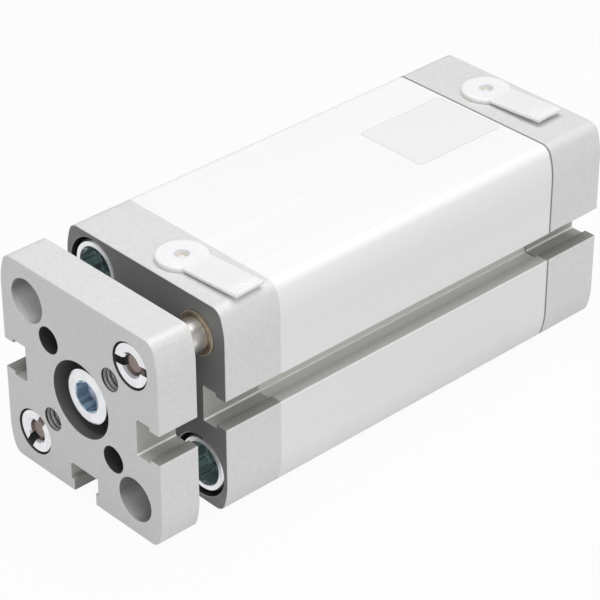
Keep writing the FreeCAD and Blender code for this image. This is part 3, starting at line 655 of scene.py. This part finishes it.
@dataclass(frozen=True)
class SoftPlastic:
    """Translucent soft plastic of the port plugs."""

    name: str
    tint: Colour = (0.93, 0.93, 0.925)
    dimple_tint: Colour = (0.88, 0.90, 0.97)
    # warm painted light round the plug's lower edge
    rim_light_tint: Colour = (0.92, 0.89, 0.85)
    dimple: Tuple[float, float] = (0.0, 0.0)
    dimple_inner: float = 1.0 * MM
    dimple_outer: float = 2.9 * MM
    underside: float = 20.1 * MM
    clearness: float = 0.06
    milkiness: float = 0.5
    milk_depth: float = 1.6 * MM

    def build(self) -> bpy.types.Material:
        """Build the material.

        Returns:
            Milky plastic with a bluish middle and warm painted light on the lowest part of its
            sides.
        """
        nodes = Nodes(self.name)
        cloud = nodes.noise(1.2 * MM, 2.0)
        place = nodes.place()
        x = place["x"] - self.dimple[0]
        y = place["y"] - self.dimple[1]
        middle = (x * x + y * y).root().step(self.dimple_outer, self.dimple_inner)
        colour = nodes.blend(self.tint, self.dimple_tint, middle)
        # Painted light: the lowest 0.3 mm of the plug is tinted warm, for light that shines
        # through the plastic.
        lit_rim = place["z"].step(self.underside + 0.3 * MM, self.underside)
        colour = nodes.blend(colour, self.rim_light_tint, lit_rim)
        return nodes.finish({
            "Base Color": colour,
            "Roughness": 0.34 + (cloud - 0.5) * 0.1,
            "Transmission Weight": self.clearness,
            "Subsurface Weight": self.milkiness,
            "Subsurface Radius": (1.0, 1.0, 1.0),
            "Subsurface Scale": self.milk_depth,
            "IOR": 1.45,
            "Normal": nodes.raised(cloud, 0.01 * MM, 0.4),
        })


# ------------------------------------------------------------------ pieces
def dress(node: str, material: bpy.types.Material) -> None:
    """Give one solid of the unit its material.

    Args:
        node: the solid's name.
        material: the material for all its slots.
    """
    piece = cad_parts[node]
    if not piece.data.materials:
        piece.data.materials.append(material)
    for index in range(len(piece.data.materials)):
        piece.data.materials[index] = material
    LOG.info("%s has finish %s", node, material.name)


def make_piece(
    name: str,
    vertices: Sequence[Sequence[float]],
    faces: Sequence[Sequence[int]],
    material: bpy.types.Material,
    body: str,
    smooth: bool = True,
) -> bpy.types.Object:
    """Make one mesh piece that rides on a body of the unit.

    Args:
        name: the piece's name.
        vertices: its points in metres.
        faces: its faces as point numbers.
        material: its material.
        body: the body it rides on.
        smooth: whether its faces are shaded smooth.

    Returns:
        The new object.
    """
    mesh = bpy.data.meshes.new(name)
    mesh.from_pydata([tuple(v) for v in vertices], [], [tuple(f) for f in faces])
    mesh.validate()
    mesh.update()
    for polygon in mesh.polygons:
        polygon.use_smooth = smooth
    mesh.materials.append(material)
    piece = bpy.data.objects.new(name, mesh)
    bpy.context.collection.objects.link(piece)
    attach(piece, body)
    LOG.info("%s made with %d faces on %s", name, len(faces), body)
    return piece


@dataclass
class ThreadTurns:
    """Turns of an inner thread in a hole that runs along X."""

    name: str
    centre: Point2
    start: float
    end: float
    body: str
    slot: str
    core_radius: float = 2.1 * MM
    ridge: float = 0.2 * MM
    pitch: float = 0.8 * MM
    foot_half: float = 0.42   # of the pitch
    crest_half: float = 0.06
    steps: int = 36

    def build(self, material: bpy.types.Material) -> bpy.types.Object:
        """Wind the ridge of the thread.

        Args:
            material: the ridge's material.

        Returns:
            The helical ridge.
        """
        turns = (self.end - self.start) / self.pitch - 1.0
        count = int(turns * self.steps) + 1
        vertices: List[Tuple[float, float, float]] = []
        faces: List[Tuple[int, ...]] = []
        for index in range(count):
            angle = 2 * math.pi * index / self.steps
            x = self.start + self.pitch * (0.5 + index / self.steps)
            ease = min(1.0, index / self.steps, (count - 1 - index) / self.steps)
            foot, crest = self.foot_half, self.crest_half
            for shift, rise in ((-foot, 0.0), (-crest, ease), (crest, ease), (foot, 0.0)):
                radius = self.core_radius + OVERLAP - self.ridge * rise
                y = self.centre[0] + radius * math.cos(angle)
                z = self.centre[1] + radius * math.sin(angle)
                vertices.append((x + shift * self.pitch, y, z))
        for index in range(count - 1):
            for corner in range(3):
                a = 4 * index + corner
                faces.append((a, a + 1, a + 5, a + 4))
        return make_piece(self.name, vertices, faces, material, self.body)


@dataclass
class Housing:
    """Barrel, caps, their screws, bushes and seals, and the bare label film."""

    corner_offset: float = 13.0 * MM
    seat_radius: float = 5.8 * MM
    rear_seam: float = 12.5 * MM
    front_face: float = 89.0 * MM
    rear_thread: Tuple[float, float] = (3.6 * MM, 10.0 * MM)
    front_thread: Tuple[float, float] = (79.0 * MM, 85.4 * MM)
    label_low: Tuple[float, float] = (13.4 * MM, -7.4 * MM)
    label_high: Tuple[float, float] = (33.2 * MM, 7.9 * MM)
    label_thickness: float = 0.05 * MM
    label_round: float = 0.6 * MM

    def corners(self) -> Tuple[Point2, ...]:
        """The two screw axes and the two guide axes."""
        o = self.corner_offset
        return ((-o, o), (o, -o), (o, o), (-o, -o))

    def build(self) -> None:
        """Dress the housing's solids and add what the solids leave out."""
        # Nearly black painted shade on the seat walls round the sleeve screws
        seat_shade = (0.05, 0.05, 0.045)
        seats = tuple(Bore(corner, self.seat_radius, seat_shade) for corner in self.corners())
        # the front cap's front face gets painted shade, for the gap before the yoke plate
        front = BlastedAluminium("front_cap_aluminium", seats[:2], gap_shade_from=self.front_face)
        dress("bearing_cap", front.build())
        rear = BlastedAluminium("rear_cap_aluminium", seats, seam=self.rear_seam)
        dress("end_cap", rear.build())
        extrusion = AnodisedExtrusion("barrel_anodised", rear_seam=self.rear_seam)
        dress("cylinder_barrel", extrusion.build())
        zinc = ZincPlated("sleeve_screw_zinc", sockets=self.corners()).build()
        dress("bearing_cap_screws", zinc)
        dress("end_cap_screws", zinc)
        warm = (0.40, 0.34, 0.26)
        bronze = PlainFinish("bush_bronze", warm, metallic=0.9, roughness=0.42).build()
        dress("rod_bush", bronze)
        dress("guide_bushes", bronze)
        seal = PlainFinish("seal_polyurethane", (0.06, 0.07, 0.08), roughness=0.45)
        dress("rod_seal", seal.build())
        rubber = PlainFinish("oring_rubber", (0.02, 0.02, 0.02), roughness=0.5).build()
        dress("front_oring", rubber)
        dress("rear_oring", rubber)
        self.label()
        self.threads(zinc)

    def label(self) -> None:
        """Lay the bare label film on the barrel's top."""
        low_x, low_y = self.label_low
        high_x, high_y = self.label_high
        r = self.label_round
        outline: List[Tuple[float, float]] = []
        for cx, cy, turn in (
            (high_x - r, high_y - r, 0), (low_x + r, high_y - r, 90),
            (low_x + r, low_y + r, 180), (high_x - r, low_y + r, 270),
        ):
            for step in range(CORNER_STEPS + 1):
                angle = math.radians(turn + 90 / CORNER_STEPS * step)
                outline.append((cx + r * math.cos(angle), cy + r * math.sin(angle)))
        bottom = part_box("cylinder_barrel")[1][2] - OVERLAP
        top = bottom + OVERLAP + self.label_thickness
        count = len(outline)
        vertices = [(x, y, bottom) for x, y in outline] + [(x, y, top) for x, y in outline]
        faces = [tuple(range(count, 2 * count)), tuple(reversed(range(count)))]
        faces += [(i, (i + 1) % count, count + (i + 1) % count, count + i) for i in range(count)]
        film = LabelFilm("label_film", self.label_low, self.label_high).build()
        make_piece(
            "label_film", vertices, faces, film, "housing", smooth=False
        )

    def threads(self, material: bpy.types.Material) -> None:
        """Wind the threads inside the sleeve screws."""
        ends = (
            ("rear", self.corners(), self.rear_thread),
            ("front", self.corners()[:2], self.front_thread),
        )
        for side, corners, (start, end) in ends:
            for index, corner in enumerate(corners):
                name = f"{side}_screw_thread_{index + 1}"
                ThreadTurns(name, corner, start, end, "housing", "zinc_steel").build(material)


@dataclass
class MovingUnit:
    """Piston, rods and yoke plate."""

    hole_offset: float = 7.8 * MM
    corner_offset: float = 13.0 * MM
    plate_back: float = 95.0 * MM
    plate_front: float = 103.0 * MM
    counterbore_radius: float = 7.0 * MM
    access_radius: float = 4.0 * MM
    pin_radius: float = 2.45 * MM
    tapped_radius: float = 2.1 * MM
    nut_radius: float = 4.2 * MM

    def build(self) -> None:
        """Dress the moving solids and wind the yoke plate's two threads."""
        o, c = self.hole_offset, self.corner_offset
        # The wall tints of the yoke plate's holes are painted shade, lightest in the access holes,
        # which also get a painted sheen on one side
        light, middle, dark = (0.33,) * 3, (0.15,) * 3, (0.07,) * 3
        bores = (
            Bore((0.0, 0.0), self.counterbore_radius, middle),
            Bore((-c, c), self.access_radius, light, (0.95,) * 3, 235.0, 70.0),
            Bore((c, -c), self.access_radius, light, (0.60,) * 3, 235.0, 50.0),
            Bore((-o, o), self.pin_radius, dark), Bore((o, -o), self.pin_radius, dark),
            Bore((o, o), self.tapped_radius, dark), Bore((-o, -o), self.tapped_radius, dark),
            Bore((c, c), self.nut_radius, dark), Bore((-c, -c), self.nut_radius, dark),
        )
        dress("yoke_plate", BlastedAluminium("yoke_plate_aluminium", bores).build())
        pale = (0.62, 0.62, 0.61)
        ridge = PlainFinish("thread_aluminium", pale, metallic=0.3, roughness=0.4).build()
        yoke_screw = ZincPlated(
            "yoke_screw_zinc", socket_tint=(0.30, 0.42, 0.52), floor_tint=(0.62, 0.64, 0.78),
            sockets=((0.0, 0.0),), socket_radius=3.0 * MM, floor_below=99.35 * MM,
        )
        dress("yoke_screw", yoke_screw.build())
        dress("guide_rod_nuts", ZincPlated("nut_zinc", roughness=0.2).build())
        bright = (0.95, 0.92, 0.87)
        rod_steel = GroundSteel("guide_rod_steel", bright, stud_start=97.0 * MM, roughness=0.3)
        dress("guide_rods", rod_steel.build())
        dress("piston_rod", GroundSteel("piston_rod_steel").build())
        turned = PlainFinish("piston_aluminium", (0.70,) * 3, metallic=1.0, roughness=0.35).build()
        dress("piston_rear_half", turned)
        dress("piston_front_half", turned)
        dress("piston_screw", ZincPlated("piston_screw_zinc").build())
        for node, name, tint, roughness in (
            ("piston_lip_seals", "piston_seal", (0.06, 0.07, 0.08), 0.45),
            ("piston_magnet", "bonded_ferrite", (0.05, 0.05, 0.05), 0.6),
            ("piston_guide_ring", "guide_ring", (0.70, 0.66, 0.55), 0.45),
        ):
            dress(node, PlainFinish(name, tint, roughness=roughness).build())
        cushion = PlainFinish("cushion_rubber", (0.50, 0.50, 0.44), roughness=0.5).build()
        dress("rear_cushion", cushion)
        dress("front_cushion", cushion)
        for index, side in enumerate((1, -1)):
            turns = ThreadTurns(
                f"yoke_thread_{index + 1}", (side * o, side * o),
                self.plate_back, self.plate_front, "moving_unit", "yoke_aluminium",
            )
            turns.build(ridge)


@dataclass
class PortPlugs:
    """Two soft plugs that close the supply ports."""

    front: Tuple[float, float] = (83.0 * MM, 2.75 * MM)
    rear: Tuple[float, float] = (6.0 * MM, -2.75 * MM)

    def build(self) -> None:
        """Dress both plugs."""
        dress("front_port_plug", SoftPlastic("front_plug_plastic", dimple=self.front).build())
        dress("rear_port_plug", SoftPlastic("rear_plug_plastic", dimple=self.rear).build())


# ------------------------------------------------------------------ studio
@dataclass
class Lamp:
    """One soft rectangular lamp."""

    name: str
    place: Tuple[float, float, float]
    aim: Tuple[float, float, float]
    width: float
    power: float
    tint: Colour = (1.0, 1.0, 1.0)

    def build(self) -> None:
        """Hang the lamp and turn it to its aim."""
        data = bpy.data.lights.new(self.name, "AREA")
        data.shape = "SQUARE"
        data.size = self.width
        data.energy = self.power
        data.color = self.tint
        lamp = bpy.data.objects.new(self.name, data)
        bpy.context.collection.objects.link(lamp)
        lamp.location = Vector(self.place)
        toward = Vector(self.aim) - lamp.location
        lamp.rotation_euler = toward.to_track_quat("-Z", "Y").to_euler()


@dataclass
class Studio:
    """Pale floor, soft light and the camera."""

    azimuth: float = 136.98
    elevation: float = 32.585
    roll: float = -0.095
    distance: float = 463.47 * MM
    aim: Tuple[float, float, float] = (53.49 * MM, -0.88 * MM, -2.81 * MM)
    lens: float = 160.30
    sensor: float = 36.0
    sky_strength: float = 0.50
    floor_tint: Colour = (0.60, 0.60, 0.60)
    floor_glow: float = 0.94

    def build(self) -> None:
        """Set up floor, world, lamps and camera."""
        self.floor()
        self.world()
        self.lamps()
        self.camera()
        bpy.context.scene.view_settings.view_transform = "Standard"

    def floor(self) -> None:
        """Lay a wide pale floor under the unit."""
        low = CAD_BOX[0][2] - 0.02 * MM
        half = 3.0
        mesh = bpy.data.meshes.new("floor")
        corners = [(-half, -half, low), (half, -half, low), (half, half, low), (-half, half, low)]
        mesh.from_pydata(corners, [], [(0, 1, 2, 3)])
        nodes = Nodes("floor_pale")
        camera, glossy, through = (
            nodes.add("ShaderNodeLightPath", output=f"Is {ray} Ray")
            for ray in ("Camera", "Glossy", "Transmission")
        )
        matt = nodes.add("ShaderNodeBsdfDiffuse", inputs={"Color": (*self.floor_tint, 1.0)})
        white = {"Color": (1.0, 1.0, 1.0, 1.0), "Strength": 1.0}
        glow = nodes.add("ShaderNodeEmission", inputs=white)
        seen = camera.at_least(glossy).at_least(through)
        parts = {0: seen * self.floor_glow, 1: matt, 2: glow}
        mixed = nodes.add("ShaderNodeMixShader", inputs=parts)
        nodes.add_output(mixed)
        mesh.materials.append(nodes.owner)
        floor = bpy.data.objects.new("floor", mesh)
        bpy.context.collection.objects.link(floor)

    def world(self) -> None:
        """Light the room evenly, with a white background."""
        nodes = Nodes("room", world=True)
        seen = nodes.add("ShaderNodeLightPath", output="Is Camera Ray")
        values = {"Value": seen, "To Min": self.sky_strength, "To Max": 1.0}
        strength = nodes.add("ShaderNodeMapRange", inputs=values)
        nodes.add_output(nodes.add("ShaderNodeBackground", inputs={"Strength": strength}))
        bpy.context.scene.world = nodes.owner

    def lamps(self) -> None:
        """Hang the lamps."""
        aim = (50 * MM, 0.0, 0.0)
        Lamp("lamp_over", (0.05, 0.05, 0.75), aim, 0.7, 4.6).build()
        Lamp("lamp_side", (0.0, 0.80, 0.30), aim, 0.5, 1.2).build()
        Lamp("lamp_front", (0.26, 0.22, 0.16), (0.10, 0.01, 0.0), 0.10, 0.09).build()

    def camera(self) -> None:
        """Place the camera."""
        turn = math.radians(self.azimuth)
        rise = math.radians(self.elevation)
        level = math.cos(rise)
        back = Vector((math.sin(turn) * level, -math.cos(turn) * level, math.sin(rise)))
        right = Vector((math.cos(turn), math.sin(turn), 0.0))
        right.rotate(Matrix.Rotation(math.radians(self.roll), 3, back))
        up = back.cross(right)
        data = bpy.data.cameras.new("camera")
        data.lens = self.lens
        data.sensor_width = self.sensor
        data.clip_start = 0.01
        data.clip_end = 50.0
        camera = bpy.data.objects.new("camera", data)
        bpy.context.collection.objects.link(camera)
        turned = Matrix((right, up, back)).transposed().to_4x4()
        camera.matrix_world = Matrix.Translation(Vector(self.aim) + back * self.distance) @ turned
        bpy.context.scene.camera = camera


def main() -> None:
    """Dress the unit and set up its studio."""
    logging.basicConfig(level=logging.INFO, format="%(name)s: %(message)s")
    for assembly in (Housing(), MovingUnit(), PortPlugs(), Studio()):
        LOG.info("building %s", type(assembly).__name__)
        assembly.build()


if __name__ == "__main__":
    main()
